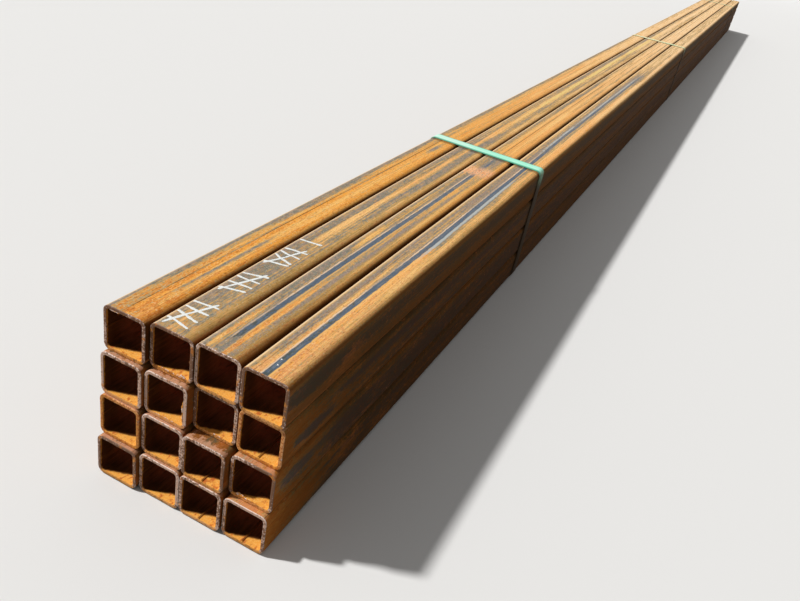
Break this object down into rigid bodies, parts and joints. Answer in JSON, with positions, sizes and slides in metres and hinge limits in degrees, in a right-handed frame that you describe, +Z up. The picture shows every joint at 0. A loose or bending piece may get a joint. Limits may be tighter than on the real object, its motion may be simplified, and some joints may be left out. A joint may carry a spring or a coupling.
{
  "type": "bundle of square steel tubes",
  "caption": "Bundle of rusty square steel tubes stacked in rows and held by green plastic straps, open at both ends.",
  "frame": {"origin": "on the floor under the middle of the bundle", "axes": "+X across the bundle to the right seen from the near end, +Y along the tubes away from the near end, +Z up"},
  "size_m": [0.2623, 7.34, 0.2579],
  "materials": {
    "rusty_steel": "rusted mill finish with grey scale left in streaks",
    "green_strap": "smooth plastic band with a slight sheen"
  },
  "bodies": {
    "root": {"tube_row1_column1": "rusty_steel", "tube_row1_column2": "rusty_steel", "tube_row1_column3": "rusty_steel", "tube_row1_column4": "rusty_steel", "tube_row2_column1": "rusty_steel", "tube_row2_column2": "rusty_steel", "tube_row2_column3": "rusty_steel", "tube_row2_column4": "rusty_steel", "tube_row3_column1": "rusty_steel", "tube_row3_column2": "rusty_steel", "tube_row3_column3": "rusty_steel", "tube_row3_column4": "rusty_steel", "tube_row4_column1": "rusty_steel", "tube_row4_column2": "rusty_steel", "tube_row4_column3": "rusty_steel", "tube_row4_column4": "rusty_steel", "strap_near": "green_strap", "strap_middle": "green_strap", "strap_far": "green_strap"}
  },
  "joints": []
}
